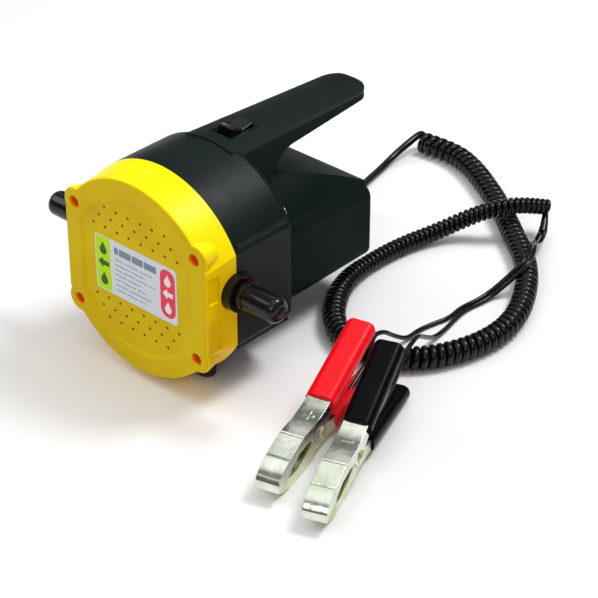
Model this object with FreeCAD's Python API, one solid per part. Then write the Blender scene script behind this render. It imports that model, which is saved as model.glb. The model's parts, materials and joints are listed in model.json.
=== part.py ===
import FreeCAD, Part
import math
import os
from FreeCAD import Placement, Rotation, Vector

# Fluid transfer pump, 12 V, in millimetres. +X is the pump's right side seen from its
# front, +Y points from the front face back along the handle, +Z is up. The origin is on
# the floor, midway between the front face and the handle's end, on the pump's mid-plane.
# Depths are measured back from the front face; heights are measured from the drum's axis.

LENGTH = 167.0            # front face to the end of the handle
FRONT_Y = -LENGTH / 2     # plane of the front face
AXIS_Z = 60.5             # height of the drum's axis above the floor

WALL = 2.4                # moulded wall thickness
FACE_R = 55.6             # front face: a circle ...
FACE_HALF_W = 50.6        # ... with a flat on each side
SEAM_R = 58.3             # the drum at the seam between cover and housing
SEAM_HALF_W = 52.0
SEAM = 21.0               # depth of the seam
DRUM_END = 59.8           # depth of the drum's rear edge
PLATE_END = 62.4          # depth of the back of the rear plate
SCREW_X = 43.1            # corner screws
SCREW_Z = 29.3
SCREW_WELL = 6.2          # depth of the wells that the cover's screws sit in

PORT_Z = 5.8              # the two ports lie on one axis across the pump, at the seam
PORT_END = 82.5           # outside of the caps
PORT_BORE_R = 4.0
NOZZLE_END = 80.4
NOZZLE_R = 5.7
COLLAR_R = 10.1
PORT_ROOT_R = 5.5         # where a port is pushed into the pump body

BOX_END = 148.6           # depth of the motor box's rear face
BOX_BOTTOM = -38.6
HANDLE_HALF_W = 16.5      # at the drum, tapering to ...
HANDLE_END_HALF_W = 14.2  # ... this at the end
CROWN_R = 59.5            # the handle's crowned top, at the drum, falling to ...
CROWN_END_R = 53.4        # ... this at the end
HANDLE_WALL = 2.2
GLAND_X = -4.6            # where the cord leaves the rear face
GLAND_Z = -28.0
GLAND_LENGTH = 18.0
HANDLE_SCREWS = (108.0, 150.0)

FOOT_R = 4.6
FRONT_FOOT_X = 23.0
FRONT_FOOT_DEPTH = 27.5
REAR_FOOT_DEPTH = 128.0   # behind the centre of mass, which lies over the motor
REAR_FOOT_HEIGHT = 9.0

GEAR_TEETH = 12
GEAR_MODULE = 2.0
GEAR_SPACING = 24.4       # a little over twice the pitch radius, so the teeth run free
GEAR_TIP_R = 13.8
GEAR_ROOT_R = 9.8
GEAR_BACKLASH = 0.5
GEAR_FRONT = 15.2
GEAR_BACK = 27.0
MOTOR_Z = PORT_Z - GEAR_SPACING / 2
IDLER_Z = PORT_Z + GEAR_SPACING / 2
SHAFT_R = 4.0
RUNNING = 0.05            # radial clearance of a shaft in its bearing
MOTOR_R = 26.0
MOTOR_END = 108.0

SWITCH_DEPTH = 75.2       # centre of the rocker switch
SWITCH_HALF_W = 7.4       # the pocket in the handle that it sits in
SWITCH_HALF_L = 10.9
SWITCH_SEAT = 56.2        # the pocket's floor, which carries the switch's bezel
ROCKER_Z = 53.8           # the rocker's pivot
ROCKER_TILT = 9.0         # degrees either side of level

CORD_D = 4.3              # jacketed two-core cord
COIL_D = 13.6             # outside of the curly cord's coils, narrowing to ...
COIL_END_D = 10.6         # ... this towards the clamps
LEAD_D = 2.6              # single leads to the clamps

Y_AXIS = Vector(0, 1, 0)
X_AXIS = Vector(1, 0, 0)
SIDES = (-1, 1)


def at(x, depth, z):
    """A point given by its offset from the drum's axis and its depth behind the face."""
    return Vector(x, FRONT_Y + depth, AXIS_Z + z)


def rod(x, z, start, end, radius):
    """A cylinder along the depth."""
    return Part.makeCylinder(radius, end - start, at(x, start, z), Y_AXIS)


def ring(x, z, start, end, outer, inner):
    return rod(x, z, start, end, outer).cut(rod(x, z, start - 1, end + 1, inner))


def cross_rod(x0, x1, depth, z, radius):
    """A cylinder across the pump, from x0 to x1."""
    low = min(x0, x1)
    return Part.makeCylinder(radius, abs(x1 - x0), at(low, depth, z), X_AXIS)


def slab(x0, x1, d0, d1, z0, z1):
    return Part.makeBox(x1 - x0, d1 - d0, z1 - z0, at(x0, d0, z0))


def prism(points, vector):
    """A polygon, given by its corners, pushed along a vector."""
    return Part.Face(Part.makePolygon(points + points[:1])).extrude(vector)


def union(shapes):
    return shapes[0].multiFuse(shapes[1:]).removeSplitter()


def corners():
    return [(sx * SCREW_X, sz * SCREW_Z) for sx in SIDES for sz in SIDES]


def round_edges(shape, wanted, radius):
    """Round the edges that pass a test on their bounding box."""
    return shape.makeFillet(radius, [edge for edge in shape.Edges if wanted(edge.BoundBox)])


def export(shape, name):
    if not shape.isValid():
        print("INVALID", name)
    shape.exportStep("parts/" + name + ".step")
    print(name, round(shape.Volume), len(shape.Solids))


# ---------------------------------------------------------------- casing

def drum_wire(depth, radius, half_width):
    rise = math.sqrt(radius ** 2 - half_width ** 2)
    left, right = -half_width, half_width
    top = Part.Arc(at(left, depth, rise), at(0, depth, radius), at(right, depth, rise))
    low = Part.Arc(at(right, depth, -rise), at(0, depth, -radius), at(left, depth, -rise))
    return Part.Wire([
        top.toShape(),
        Part.makeLine(at(right, depth, rise), at(right, depth, -rise)),
        low.toShape(),
        Part.makeLine(at(left, depth, -rise), at(left, depth, rise)),
    ])


def drum(start, r0, w0, end, r1, w1):
    return Part.makeLoft([drum_wire(start, r0, w0), drum_wire(end, r1, w1)], True, True)


def perforations():
    """Staggered rows above and below the label, each row one hole longer than the last."""
    pitch, row_step, first_row, radius = 8.62, 5.93, 21.3, 0.85
    holes = []
    for side in SIDES:
        for row in range(3):
            count = 8 - row
            z = 0.9 + side * (first_row + row * row_step)
            for i in range(count):
                x = (i - (count - 1) / 2) * pitch
                holes.append(rod(x, z, -1, 5, radius))
    return holes


def front_cover():
    ear_r, ear_end_r, ear_depth = 8.6, 6.4, 11.0
    body = drum(0, FACE_R, FACE_HALF_W, SEAM, SEAM_R, SEAM_HALF_W)
    ears = [Part.makeCone(ear_r, ear_end_r, ear_depth, at(x, 0, z), Y_AXIS) for x, z in corners()]
    body = union([body] + ears)
    body = round_edges(body, lambda box: box.YMax < FRONT_Y + 0.01, 2.0)
    hollow = drum(2.6, FACE_R - WALL, FACE_HALF_W - WALL, SEAM + 0.01, SEAM_R - WALL, SEAM_HALF_W - WALL)
    bosses = [rod(x, z, 1.5, SEAM, 4.6) for x, z in corners()]
    body = union([body.cut(hollow)] + bosses)
    cuts = perforations()
    cuts.append(drum(-0.8, 45.9, 40.8, 1.2, 43.1, 38.0))
    for x, z in corners():
        cuts.append(rod(x, z, -1, SCREW_WELL, 3.5))
        cuts.append(rod(x, z, -1, SEAM + 1, 1.9))
    for side in SIDES:
        cuts.append(cross_rod(side * 40, side * 62, SEAM, PORT_Z, COLLAR_R + 0.3))
        for z0, z1 in ((-24.0, -8.0), (4.5, 19.5)):
            x0, x1 = sorted((side * (FACE_HALF_W - 0.4), side * 60))
            cuts.append(slab(x0, x1, 2.6, 9.8, z0, z1))
    return body.cut(cuts)


def label():
    half_w, half_h, corner = 29.6, 16.4, 2.2
    plate = slab(-half_w, half_w, 0.9, 1.2, -half_h + 0.3, half_h + 0.3)
    tall = [edge for edge in plate.Edges if edge.BoundBox.YLength > 0.2]
    return plate.makeFillet(corner, tall)


def screw(x, z, seat, length, head_r, shank_r, facing):
    """A cross-recess screw along the depth; facing is -1 for a head towards the front."""
    head = rod(x, z, min(seat, seat + facing * 2.2), max(seat, seat + facing * 2.2), head_r)
    tip = seat - facing * length
    shank = rod(x, z, min(seat, tip), max(seat, tip), shank_r)
    outer = seat + facing * 2.2
    low, high = sorted((outer, outer - facing * 1.2))
    slots = [slab(x - 2, x + 2, low, high, z - 0.4, z + 0.4), slab(x - 0.4, x + 0.4, low, high, z - 2, z + 2)]
    return head.fuse(shank).cut(slots)


def cover_screws():
    return Part.makeCompound([screw(x, z, SCREW_WELL, 27, 3.1, 1.6, -1) for x, z in corners()])


def housing_screws():
    return Part.makeCompound([screw(x, z, PLATE_END, 18, 3.1, 1.6, 1) for x, z in corners()])


def handle_plan(inset):
    """The handle seen from above, as a tall block."""
    front, back = 50.0 if inset else 56.0, LENGTH - inset
    w0, w1, corner = HANDLE_HALF_W - inset, HANDLE_END_HALF_W - inset, 9.0 - inset
    z = 18.0
    knee = back - corner
    lean = corner * (1 - math.sqrt(0.5))
    right = Part.Arc(at(w1, knee, z), at(w1 - lean, back - lean, z), at(w1 - corner, back, z))
    left = Part.Arc(at(corner - w1, back, z), at(lean - w1, back - lean, z), at(-w1, knee, z))
    wire = Part.Wire([
        Part.makeLine(at(w0, front, z), at(w1, knee, z)),
        right.toShape(),
        Part.makeLine(at(w1 - corner, back, z), at(corner - w1, back, z)),
        left.toShape(),
        Part.makeLine(at(-w1, knee, z), at(-w0, front, z)),
        Part.makeLine(at(-w0, front, z), at(w0, front, z)),
    ])
    return Part.Face(wire).extrude(Vector(0, 0, 50))


def handle_side(inset):
    """The handle and the column that carries it, seen from the side."""
    x = -30.0
    front, back, top, low = 49.0, LENGTH + 3, 66.0, 17.0
    grip = at(x, 106 - inset, 43.6 + inset)
    root = at(x, 86 - inset, 29.0)
    bend = at(x, 93.3 - 0.8 * inset, 39.6 + 0.6 * inset)
    wire = Part.Wire([
        Part.makeLine(at(x, front, low), at(x, front, top)),
        Part.makeLine(at(x, front, top), at(x, back, top)),
        Part.makeLine(at(x, back, top), at(x, back, 47.6 + inset)),
        Part.makeLine(at(x, back, 47.6 + inset), grip),
        Part.Arc(grip, bend, root).toShape(),
        Part.makeLine(root, at(x, 86 - inset, low)),
        Part.makeLine(at(x, 86 - inset, low), at(x, front, low)),
    ])
    return Part.Face(wire).extrude(Vector(60, 0, 0))


def handle_block(inset):
    start, end = 48.0, LENGTH + 4
    crown = Part.makeCone(CROWN_R - inset, CROWN_END_R - inset, end - start, at(0, start, 0), Y_AXIS)
    return handle_plan(inset).common(handle_side(inset)).common(crown)


def above_parting():
    """Everything above the line where the handle's top and bottom mouldings meet."""
    return prism([at(-40, 40, 52.5), at(-40, 180, 49.9), at(-40, 180, 80), at(-40, 40, 80)], Vector(80, 0, 0))


def switch_pocket():
    half_w, half_l = SWITCH_HALF_W, SWITCH_HALF_L
    return slab(-half_w, half_w, SWITCH_DEPTH - half_l, SWITCH_DEPTH + half_l, SWITCH_SEAT, 70)


def front_housing(handle, handle_hollow):
    outer = drum(SEAM, SEAM_R, SEAM_HALF_W, DRUM_END, SEAM_R - 0.1, SEAM_HALF_W)
    inner = drum(SEAM - 1, SEAM_R - WALL, SEAM_HALF_W - WALL, DRUM_END + 1, SEAM_R - WALL, SEAM_HALF_W - WALL)
    top = handle.common(above_parting()).cut(handle_hollow)
    floor = slab(-13, 13, DRUM_END - 1, SWITCH_DEPTH + 13.5, SWITCH_SEAT - 2, SWITCH_SEAT).common(handle)
    shell = union([outer.cut(inner), top, floor])
    posts = []
    for x, z in corners():
        posts.append(rod(x, z, SEAM, DRUM_END, 4.4))
        reach = math.copysign(SEAM_HALF_W - 1, x)
        posts.append(slab(min(x, reach), max(x, reach), SEAM + 2, DRUM_END, z - 1.2, z + 1.2))
    cuts = [switch_pocket(), switch_cutout()]
    cuts.append(slab(-12, 12, SWITCH_DEPTH - 12, SWITCH_DEPTH + 12, 40, SWITCH_SEAT - 2))
    for x, z in corners():
        cuts.append(rod(x, z, SEAM - 1, 36, 1.6))
        cuts.append(rod(x, z, 44.4, DRUM_END + 1, 1.6))
    for side in SIDES:
        cuts.append(cross_rod(side * 40, side * 62, SEAM, PORT_Z, COLLAR_R + 0.3))
    handle_posts = [Part.makeCylinder(2.6, 12, at(0, d, 46.5)).common(handle) for d in HANDLE_SCREWS]
    shell = union([shell] + posts).cut(cuts)
    shell = union([shell] + [post.common(above_parting()) for post in handle_posts])
    return shell.cut([Part.makeCylinder(1.25, 6.5, at(0, d, 46)) for d in HANDLE_SCREWS])


def box_wire(depth, half_width, side_z, crown_z, inset):
    w, low, corner = half_width - inset, BOX_BOTTOM + inset, 6.0 - inset
    lean = corner * (1 - math.sqrt(0.5))
    shoulder = 5.0
    return Part.Wire([
        Part.makeLine(at(-w, depth, side_z - shoulder), at(-w, depth, low + corner)),
        Part.Arc(at(-w, depth, low + corner), at(-w + lean, depth, low + lean),
                 at(-w + corner, depth, low)).toShape(),
        Part.makeLine(at(-w + corner, depth, low), at(w - corner, depth, low)),
        Part.Arc(at(w - corner, depth, low), at(w - lean, depth, low + lean),
                 at(w, depth, low + corner)).toShape(),
        Part.makeLine(at(w, depth, low + corner), at(w, depth, side_z - shoulder)),
        Part.Arc(at(w, depth, side_z - shoulder), at(w - 0.9, depth, side_z - 1.2),
                 at(w - 3.4, depth, side_z + 1.6)).toShape(),
        Part.Arc(at(w - 3.4, depth, side_z + 1.6), at(0, depth, crown_z - inset),
                 at(3.4 - w, depth, side_z + 1.6)).toShape(),
        Part.Arc(at(3.4 - w, depth, side_z + 1.6), at(0.9 - w, depth, side_z - 1.2),
                 at(-w, depth, side_z - shoulder)).toShape(),
    ])


def box_side(inset):
    """The motor box seen from the side: its top falls away to the rear in one long curve."""
    x = -50.0
    back = BOX_END - inset
    wire = Part.Wire([
        Part.makeLine(at(x, 57, BOX_BOTTOM - 2), at(x, 57, 33 - inset)),
        Part.makeLine(at(x, 57, 33 - inset), at(x, 88, 31 - inset)),
        Part.Arc(at(x, 88, 31 - inset), at(x, 120, 20.6 - inset), at(x, back, 6.8 - inset)).toShape(),
        Part.makeLine(at(x, back, 6.8 - inset), at(x, back, BOX_BOTTOM - 2)),
        Part.makeLine(at(x, back, BOX_BOTTOM - 2), at(x, 57, BOX_BOTTOM - 2)),
    ])
    return Part.Face(wire).extrude(Vector(100, 0, 0))


def motor_box(inset):
    start = DRUM_END - 2 if inset else DRUM_END
    body = Part.makeLoft([box_wire(start, 33.6, 9.6, 31.5, inset),
                          box_wire(BOX_END + 1, 32.2, 2.5, 29.5, inset)], True, True)
    body = body.common(box_side(inset))
    if inset:
        return body
    return round_edges(body, lambda box: box.YMin > FRONT_Y + BOX_END - 0.5, 2.5)


def rear_post():
    """The moulded post under the motor box; its spigot carries the rear foot."""
    centre = FRONT_Y + REAR_FOOT_DEPTH
    height = AXIS_Z + BOX_BOTTOM - REAR_FOOT_HEIGHT
    post = Part.makeCone(FOOT_R + 0.6, FOOT_R + 1.6, height, Vector(0, centre, REAR_FOOT_HEIGHT))
    spigot = Part.makeCylinder(2.6, REAR_FOOT_HEIGHT - 3, Vector(0, centre, 3))
    return post.fuse(spigot)


def rear_housing(handle, handle_hollow):
    plate = drum(DRUM_END, SEAM_R - 0.1, SEAM_HALF_W, PLATE_END, SEAM_R - 1.0, SEAM_HALF_W - 0.9)
    body = union([plate, motor_box(0), handle.cut(slab(-40, 40, 40, DRUM_END, 0, 80))])
    cuts = [handle.common(above_parting()), motor_box(WALL), handle_hollow]
    body = body.cut(cuts)
    ribs = []
    for depth in (74.0, 98.0):
        rib = slab(-31, 31, depth, depth + 2.4, BOX_BOTTOM + 1.5, -14)
        ribs.append(rib.common(motor_box(0)))
    body = union([body, rear_post()] + ribs)
    for d in HANDLE_SCREWS:
        body = body.fuse(Part.makeCylinder(3.4, 12, at(0, d, 40)).common(handle).cut(above_parting()))
    body = body.removeSplitter()
    holes = [rod(0, MOTOR_Z, 60, MOTOR_END + 1, MOTOR_R + 0.1)]
    holes.append(rod(GLAND_X, GLAND_Z, BOX_END - 6, BOX_END + 1, 4.6))
    for x, z in corners():
        holes.append(rod(x, z, DRUM_END - 1, PLATE_END + 1, 1.9))
    for d in HANDLE_SCREWS:
        holes.append(Part.makeCylinder(1.7, 20, at(0, d, 38)))
        holes.append(Part.makeCylinder(3.0, 6.2, at(0, d, 40)))
    return body.cut(holes)


def handle_screws():
    screws = []
    for d in HANDLE_SCREWS:
        head = Part.makeCylinder(2.7, 1.6, at(0, d, 44.6))
        shank = Part.makeCylinder(1.2, 5.4, at(0, d, 46.2))
        slots = [slab(-1.8, 1.8, d - 0.35, d + 0.35, 44.6, 45.5),
                 slab(-0.35, 0.35, d - 1.8, d + 1.8, 44.6, 45.5)]
        screws.append(head.fuse(shank).cut(slots))
    return Part.makeCompound(screws)


def foot(x, depth, height):
    cone = Part.makeCone(FOOT_R, FOOT_R + 1, height, Vector(x, FRONT_Y + depth, 0))
    return round_edges(cone, lambda box: box.ZMax < 0.01, 0.8)


def rubber_feet():
    """Two under the drum, in front, and one pressed over the end of the motor box's post."""
    body = drum(SEAM - 5, SEAM_R, SEAM_HALF_W, DRUM_END + 5, SEAM_R, SEAM_HALF_W)
    feet = [foot(side * FRONT_FOOT_X, FRONT_FOOT_DEPTH, 10).cut(body) for side in SIDES]
    feet.append(foot(0, REAR_FOOT_DEPTH, REAR_FOOT_HEIGHT).cut(rear_post()))
    return Part.makeCompound(feet)


# ---------------------------------------------------------------- gear pump

def pump_outline(start, end):
    """The rounded block that all three layers of the pump share."""
    block = slab(-31, 31, start, end, MOTOR_Z - 18, IDLER_Z + 18)
    return block.makeFillet(9, [edge for edge in block.Edges if edge.BoundBox.YLength > (end - start) * 0.9])


def pump_screw_places():
    low, high = MOTOR_Z - 13.0, IDLER_Z + 13.0
    return [(x, z) for x in (-25.0, 25.0) for z in (low, high)]


def gear_chamber(start, end):
    radius = GEAR_TIP_R + 0.3
    return rod(0, MOTOR_Z, start, end, radius).fuse(rod(0, IDLER_Z, start, end, radius))


def pump_body():
    body = pump_outline(15.0, 34.0)
    cuts = [gear_chamber(14, 27.3)]
    cuts.append(rod(0, MOTOR_Z, 26, 35, SHAFT_R + RUNNING))
    cuts.append(rod(0, MOTOR_Z, 29, 35, 8.0))
    cuts.append(rod(0, IDLER_Z, 26, 32, SHAFT_R))
    for side in SIDES:
        cuts.append(cross_rod(side * 6, side * 32, SEAM, PORT_Z, 4.5))
        cuts.append(cross_rod(side * 22, side * 32, SEAM, PORT_Z, PORT_ROOT_R))
    for x, z in pump_screw_places():
        cuts.append(rod(x, z, 14, 30, 2.0))
    return body.cut(cuts)


def pump_gasket():
    places = [rod(x, z, 13, 16, 2.1) for x, z in pump_screw_places()]
    return pump_outline(14.5, 15.0).cut([gear_chamber(14, 16)] + places)


def pump_plate():
    plate = pump_outline(9.5, 14.5)
    cuts = [rod(x, z, 9, 15, 2.1) for x, z in pump_screw_places()]
    cuts.append(rod(0, IDLER_Z, 11, 15, SHAFT_R))
    cuts.append(rod(0, MOTOR_Z, 11, 15, SHAFT_R + RUNNING))
    return plate.cut(cuts)


def pump_screws():
    screws = []
    for x, z in pump_screw_places():
        head = rod(x, z, 6.5, 9.5, 3.5)
        hexagon = [at(x + 1.7 * math.cos(math.radians(a)), 6.5, z + 1.7 * math.sin(math.radians(a)))
                   for a in range(0, 360, 60)]
        shank = rod(x, z, 9.5, 29, 2.0)
        screws.append(head.fuse(shank).cut(prism(hexagon, Vector(0, 1.8, 0))))
    return Part.makeCompound(screws)


def involute(base, radius):
    """Angle by which an involute has turned where it reaches a radius."""
    pressure = math.acos(min(1.0, base / radius))
    return math.tan(pressure) - pressure


def gear(z, first_tooth):
    """A spur gear along the depth; first_tooth is the angle of one tooth's middle."""
    pitch_r = GEAR_MODULE * GEAR_TEETH / 2
    base = pitch_r * math.cos(math.radians(22))
    half_tooth = (math.pi * GEAR_MODULE / 2 - GEAR_BACKLASH) / 2 / pitch_r + involute(base, pitch_r)
    steps = 4
    points = []
    for tooth in range(GEAR_TEETH):
        middle = math.radians(first_tooth) + 2 * math.pi * tooth / GEAR_TEETH
        flank = [(GEAR_ROOT_R, half_tooth)]
        for i in range(steps + 1):
            radius = base + (GEAR_TIP_R - base) * i / steps
            flank.append((radius, half_tooth - involute(base, radius)))
        for radius, angle in flank:
            points.append((radius, middle - angle))
        for radius, angle in reversed(flank):
            points.append((radius, middle + angle))
    outline = [at(r * math.cos(a), GEAR_FRONT, z + r * math.sin(a)) for r, a in points]
    return prism(outline, Vector(0, GEAR_BACK - GEAR_FRONT, 0))


def drive_gear():
    return gear(MOTOR_Z, 90).cut(rod(0, MOTOR_Z, 14, 28, SHAFT_R))


def driven_gear():
    return gear(IDLER_Z, -90 + 180 / GEAR_TEETH).cut(rod(0, IDLER_Z, 14, 28, SHAFT_R + RUNNING))


def idler_axle():
    return rod(0, IDLER_Z, 11, 32, SHAFT_R)


def shaft_seal():
    seal = ring(0, MOTOR_Z, 29, 34, 8.0, SHAFT_R + 0.35)
    return seal.cut(ring(0, MOTOR_Z, 30.2, 35, 6.6, 5.4))


def port_fitting(side):
    body = [cross_rod(side * 22, side * 52, SEAM, PORT_Z, PORT_ROOT_R)]
    body.append(cross_rod(side * 49.0, side * 56.5, SEAM, PORT_Z, COLLAR_R))
    body.append(cross_rod(side * 56, side * NOZZLE_END, SEAM, PORT_Z, NOZZLE_R - 0.5))
    for start in (62.0, 68.0, 74.0):
        tip = at(side * (start + 6), SEAM, PORT_Z)
        barb = Part.makeCone(NOZZLE_R - 0.5, NOZZLE_R, 5, tip, Vector(-side, 0, 0))
        body.append(barb)
    return union(body).cut(cross_rod(side * 20, side * 90, SEAM, PORT_Z, PORT_BORE_R))


def port_cap(side):
    """A push-on cap: a closed sleeve with a thicker rolled mouth."""
    sleeve = cross_rod(side * 58.2, side * PORT_END, SEAM, PORT_Z, 7.0)
    sleeve = round_edges(sleeve, lambda box: box.XMin > PORT_END - 0.1 or box.XMax < 0.1 - PORT_END, 4.2)
    mouth = cross_rod(side * 58.2, side * 61, SEAM, PORT_Z, 7.6)
    return sleeve.fuse(mouth).cut(cross_rod(side * 50, side * (PORT_END - 1.7), SEAM, PORT_Z, NOZZLE_R + 0.06))


# ---------------------------------------------------------------- motor

def motor_bell():
    bell = rod(0, MOTOR_Z, 34.0, 38.0, MOTOR_R).fuse(rod(0, MOTOR_Z, 38.0, 42.0, 9.0))
    return bell.cut(rod(0, MOTOR_Z, 33, 43, 7.0))


def motor_can():
    can = rod(0, MOTOR_Z, 38.0, MOTOR_END, MOTOR_R).fuse(rod(0, MOTOR_Z, MOTOR_END, MOTOR_END + 4, 9.0))
    can = round_edges(can, lambda box: box.YMin > FRONT_Y + MOTOR_END - 0.1 and box.XLength > 40, 1.4)
    hollow = rod(0, MOTOR_Z, 37, MOTOR_END - 2, MOTOR_R - 1.8)
    bush_seat = rod(0, MOTOR_Z, MOTOR_END - 3, MOTOR_END + 2.6, 7.0)
    tags = [slab(x - 1.2, x + 1.2, MOTOR_END - 3, MOTOR_END + 1, MOTOR_Z + 15, MOTOR_Z + 20) for x in (-8, 8)]
    return can.cut([hollow, bush_seat] + tags)


def bush(start, end):
    return ring(0, MOTOR_Z, start, end, 7.0, SHAFT_R + RUNNING)


def magnets():
    """Two arc magnets against the inside of the can, one each side of the rotor."""
    tube = ring(0, MOTOR_Z, 47, 93, MOTOR_R - 1.8, 20.7)
    halves = []
    for side in SIDES:
        wedge = prism([at(0, 46, MOTOR_Z), at(side * 40, 46, MOTOR_Z - 50), at(side * 60, 46, MOTOR_Z),
                       at(side * 40, 46, MOTOR_Z + 50)], Vector(0, 48, 0))
        halves.append(tube.common(wedge))
    return Part.makeCompound(halves)


def motor_shaft():
    return rod(0, MOTOR_Z, 12.0, MOTOR_END + 2.0, SHAFT_R)


def armature():
    core = ring(0, MOTOR_Z, 51, 89, 20.0, SHAFT_R)
    slots = []
    for i in range(8):
        angle = 2 * math.pi * i / 8 + math.pi / 8
        x, z = 15.4 * math.cos(angle), MOTOR_Z + 15.4 * math.sin(angle)
        slots.append(rod(x, z, 50, 90, 2.9))
        out_x, out_z = 19.5 * math.cos(angle), MOTOR_Z + 19.5 * math.sin(angle)
        slots.append(rod(out_x, out_z, 50, 90, 1.0))
    return core.cut(slots)


def windings():
    """The coils: a wound bundle at each end and a bundle through every slot."""
    coils = [ring(0, MOTOR_Z, 45, 51, 18.2, 7.0), ring(0, MOTOR_Z, 89, 95, 18.2, 7.0)]
    for i in range(8):
        angle = 2 * math.pi * i / 8 + math.pi / 8
        coils.append(rod(15.2 * math.cos(angle), MOTOR_Z + 15.2 * math.sin(angle), 50.5, 89.5, 2.5))
    return union(coils)


def commutator():
    drum_part = ring(0, MOTOR_Z, 95.5, 104.0, 9.0, SHAFT_R)
    slits = []
    for i in range(12):
        slit = slab(8.0, 10.0, 95, 105, MOTOR_Z - 0.2, MOTOR_Z + 0.2)
        slit.rotate(at(0, 0, MOTOR_Z), Y_AXIS, i * 30 + 15)
        slits.append(slit)
    return drum_part.cut(slits)


def brush_plate():
    plate = ring(0, MOTOR_Z, 104.4, 105.9, MOTOR_R - 1.9, 10.0)
    boxes = []
    for side in SIDES:
        x0, x1 = sorted((side * 10.6, side * 23.0))
        box = slab(x0, x1, 97.3, 104.6, MOTOR_Z - 3.6, MOTOR_Z + 3.6)
        x0, x1 = sorted((side * 10, side * 22.2))
        boxes.append(box.cut(slab(x0, x1, 98.2, 103.8, MOTOR_Z - 2.7, MOTOR_Z + 2.7)))
    return union([plate] + boxes)


def brushes():
    blocks = []
    for side in SIDES:
        x0, x1 = sorted((side * 8.8, side * 17.0))
        block = slab(x0, x1, 98.4, 103.6, MOTOR_Z - 2.5, MOTOR_Z + 2.5)
        blocks.append(block.cut(rod(0, MOTOR_Z, 97, 105, 9.35)))
    return Part.makeCompound(blocks)


def helix_spring(centre, axis, radius, wire_r, pitch, height):
    """A round-wire spring that starts at a point and runs along an axis."""
    path = Part.makeHelix(pitch, height, radius)
    profile = Part.Wire([Part.makeCircle(wire_r, Vector(radius, 0, 0), Y_AXIS)])
    spring = Part.Wire(path.Edges).makePipeShell([profile], True, True)
    spring.Placement = Placement(centre, Rotation(Vector(0, 0, 1), axis))
    return spring


def brush_springs():
    springs = []
    for side in SIDES:
        start = at(side * 17.4, 101.0, MOTOR_Z)
        springs.append(helix_spring(start, Vector(side, 0, 0), 1.7, 0.3, 1.3, 4.4))
    return Part.makeCompound(springs)


# ---------------------------------------------------------------- switch and cord outlet

def switch_cutout():
    half_w, half_l = SWITCH_HALF_W - 1.1, SWITCH_HALF_L - 0.7
    return slab(-half_w, half_w, SWITCH_DEPTH - half_l, SWITCH_DEPTH + half_l, 38, SWITCH_SEAT + 1)


def switch_frame():
    top = SWITCH_SEAT + 1.4
    half_w, half_l = SWITCH_HALF_W - 0.3, SWITCH_HALF_L - 0.3
    bezel = slab(-half_w, half_w, SWITCH_DEPTH - half_l, SWITCH_DEPTH + half_l, SWITCH_SEAT, top)
    bezel = round_edges(bezel, lambda box: box.ZMin > AXIS_Z + top - 0.1, 0.5)
    half_w, half_l = SWITCH_HALF_W - 1.2, SWITCH_HALF_L - 0.8
    case = slab(-half_w, half_w, SWITCH_DEPTH - half_l, SWITCH_DEPTH + half_l, 40, SWITCH_SEAT)
    half_w, half_l = SWITCH_HALF_W - 2.1, SWITCH_HALF_L - 1.7
    well = slab(-half_w, half_w, SWITCH_DEPTH - half_l, SWITCH_DEPTH + half_l, 47, 60)
    return union([bezel, case]).cut(well)


def rocker():
    """A shallow V-topped rocker, stored with its front end up."""
    x, half, low = 2.5 - SWITCH_HALF_W, SWITCH_HALF_L - 2.9, -3.0
    pivot = at(0, SWITCH_DEPTH, ROCKER_Z)
    profile = [(-half, 6.6), (-half + 1, 7.0), (0, 4.6), (half - 1, 7.0), (half, 6.6), (half - 0.6, 1.0),
               (2.6, low), (-2.6, low), (-half + 0.6, 1.0)]
    shape = prism([pivot + Vector(x, y, z) for y, z in profile], Vector(-2 * x, 0, 0))
    shape = round_edges(shape, lambda box: box.ZMin > pivot.z + 4, 0.5)
    shape = shape.cut(Part.makeCylinder(1.0, 12, pivot + Vector(-6, 0, 0), X_AXIS))
    shape.rotate(pivot, X_AXIS, -ROCKER_TILT)
    return shape


def rocker_pin():
    return cross_rod(2.1 - SWITCH_HALF_W, SWITCH_HALF_W - 2.1, SWITCH_DEPTH, ROCKER_Z, 0.94)


def switch_terminals():
    depths = [SWITCH_DEPTH + step for step in (-7.2, 0.0, 7.2)]
    return Part.makeCompound([slab(-2.4, 2.4, d - 0.4, d + 0.4, 32, 40) for d in depths])


def cable_gland():
    """A strain relief: a flange outside, a collar inside and a ringed, tapering boot."""
    x, z = GLAND_X, GLAND_Z
    flange = rod(x, z, BOX_END, BOX_END + 2.4, 7.0)
    neck = rod(x, z, BOX_END - WALL, BOX_END, 4.6)
    inner = rod(x, z, BOX_END - WALL - 2, BOX_END - WALL, 6.0)
    boot = Part.makeCone(5.4, 3.1, GLAND_LENGTH - 2.4, at(x, BOX_END + 2.4, z), Y_AXIS)
    rings = [ring(x, z, BOX_END + d, BOX_END + d + 1.2, 8, 3.6 + 0.05 * (12 - d)) for d in (6, 9, 12)]
    return union([flange, neck, inner, boot]).cut(rings)


# ---------------------------------------------------------------- cord

def rounded_path(name, points):
    """Straight runs joined by the largest tangent arcs that the runs allow."""
    edges, radii, start = [], [], points[0]
    for before, corner, after in zip(points, points[1:], points[2:]):
        back = before - corner
        ahead = after - corner
        turn = math.pi - back.getAngle(ahead)
        cut = 0.45 * min(back.Length, ahead.Length)
        radius = cut / math.tan(turn / 2)
        back.normalize()
        ahead.normalize()
        inward = (back + ahead).normalize()
        middle = corner + inward * radius * (1 / math.cos(turn / 2) - 1)
        enter, leave = corner + back * cut, corner + ahead * cut
        edges.append(Part.makeLine(start, enter))
        edges.append(Part.Arc(enter, middle, leave).toShape())
        radii.append(round(radius))
        start = leave
    edges.append(Part.makeLine(start, points[-1]))
    wire = Part.Wire(edges)
    print(name, "length", round(wire.Length), "radii", radii)
    return wire


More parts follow.
